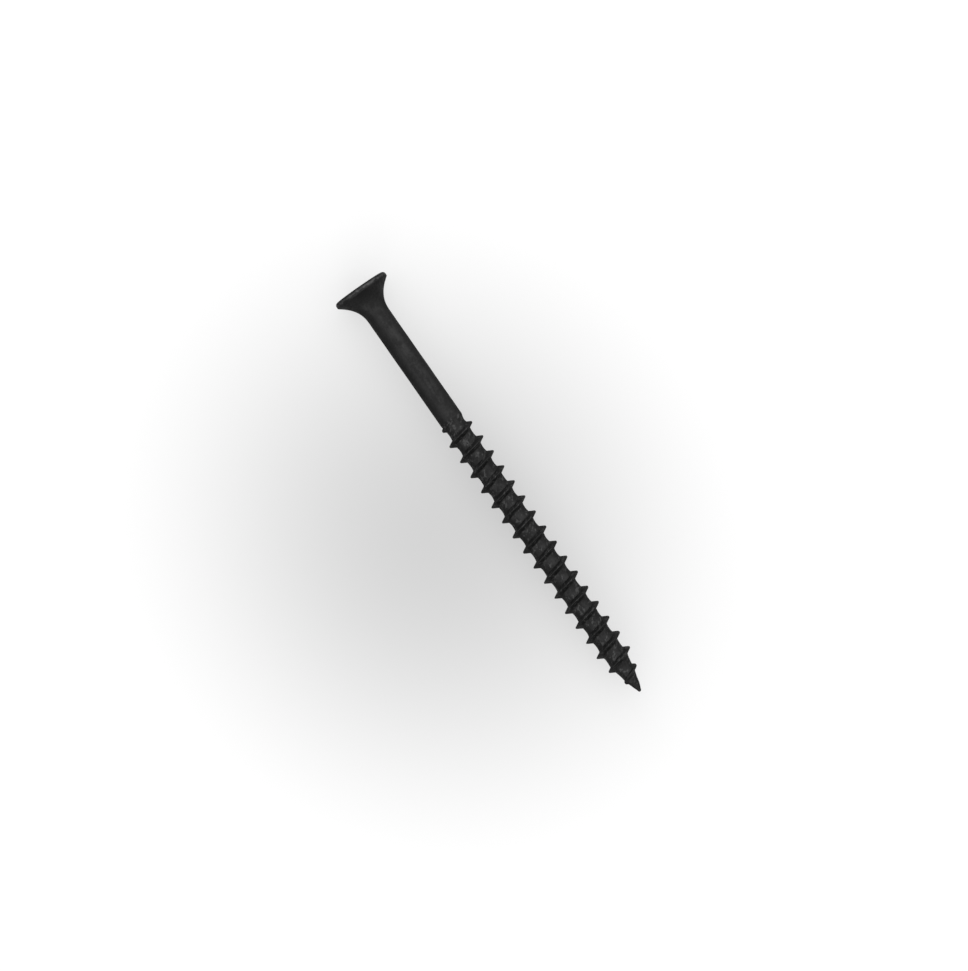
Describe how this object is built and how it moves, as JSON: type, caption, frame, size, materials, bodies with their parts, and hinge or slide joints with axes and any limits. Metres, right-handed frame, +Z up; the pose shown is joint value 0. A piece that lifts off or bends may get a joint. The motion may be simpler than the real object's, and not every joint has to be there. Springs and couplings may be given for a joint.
{
  "type": "wood screw",
  "caption": "Black phosphated wood screw with a countersinking bugle head, cross recess, plain shank, coarse right-hand thread and gimlet point.",
  "frame": {"origin": "centre of the head's flat face, on the screw's axis", "axes": "+X out of the head along the axis, so the point is at x = -0.070; +Z up with the screw lying on its side"},
  "size_m": [0.07, 0.0086, 0.0086],
  "materials": {
    "black_phosphate_steel": "matte black phosphate with a trace of oil"
  },
  "bodies": {
    "root": {"screw": "black_phosphate_steel"}
  },
  "joints": []
}
